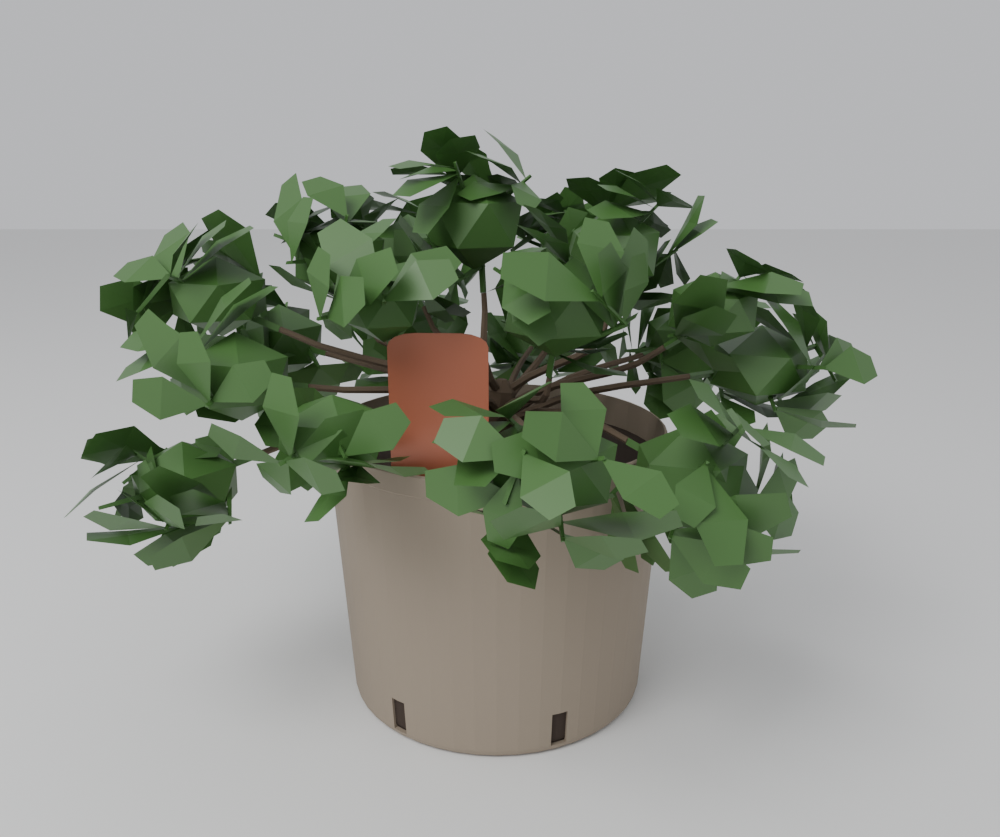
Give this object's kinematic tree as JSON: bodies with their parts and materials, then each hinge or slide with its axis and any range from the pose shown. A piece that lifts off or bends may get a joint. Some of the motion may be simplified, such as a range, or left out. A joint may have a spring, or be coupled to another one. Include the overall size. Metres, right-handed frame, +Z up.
{
  "type": "potted shrub",
  "caption": "Dwarf mound-shaped pittosporum shrub with whorled blunt leaves, in a plain round nursery pot with a plant tag.",
  "frame": {"origin": "centre of the pot's flat underside", "axes": "+Z up along the pot's axis, -Y towards the front of the plant, where the tag faces, +X to the right seen from the front"},
  "size_m": [0.6916, 0.6444, 0.5336],
  "materials": {
    "pot_plastic": "matte",
    "growing_medium": "matte",
    "bark": "matte",
    "foliage": "satin",
    "label_plastic": "satin"
  },
  "bodies": {
    "root": {"pot": "pot_plastic", "growing_medium": "growing_medium", "plant_label": "label_plastic", "trunk": "bark", "bough_top": "bark", "bough_top_left": "bark", "bough_top_right": "bark", "bough_left_high": "bark", "bough_left_middle": "bark", "bough_centre_left": "bark", "bough_centre_right": "bark", "bough_right_high": "bark", "bough_back_top_left": "bark", "bough_back_top_right": "bark", "bough_left_low": "bark", "bough_front_left": "bark", "bough_front": "bark", "bough_front_right": "bark", "bough_right": "bark", "bough_back_right": "bark", "bough_back": "bark", "bough_back_left": "bark", "bough_left_back": "bark", "foliage_top": "foliage", "foliage_top_left": "foliage", "foliage_top_right": "foliage", "foliage_left_high": "foliage", "foliage_left_middle": "foliage", "foliage_centre_left": "foliage", "foliage_centre_right": "foliage", "foliage_right_high": "foliage", "foliage_back_top_left": "foliage", "foliage_back_top_right": "foliage", "foliage_left_low": "foliage", "foliage_front_left": "foliage", "foliage_front": "foliage", "foliage_front_right": "foliage", "foliage_right": "foliage", "foliage_back_right": "foliage", "foliage_back": "foliage", "foliage_back_left": "foliage", "foliage_left_back": "foliage"}
  },
  "joints": []
}
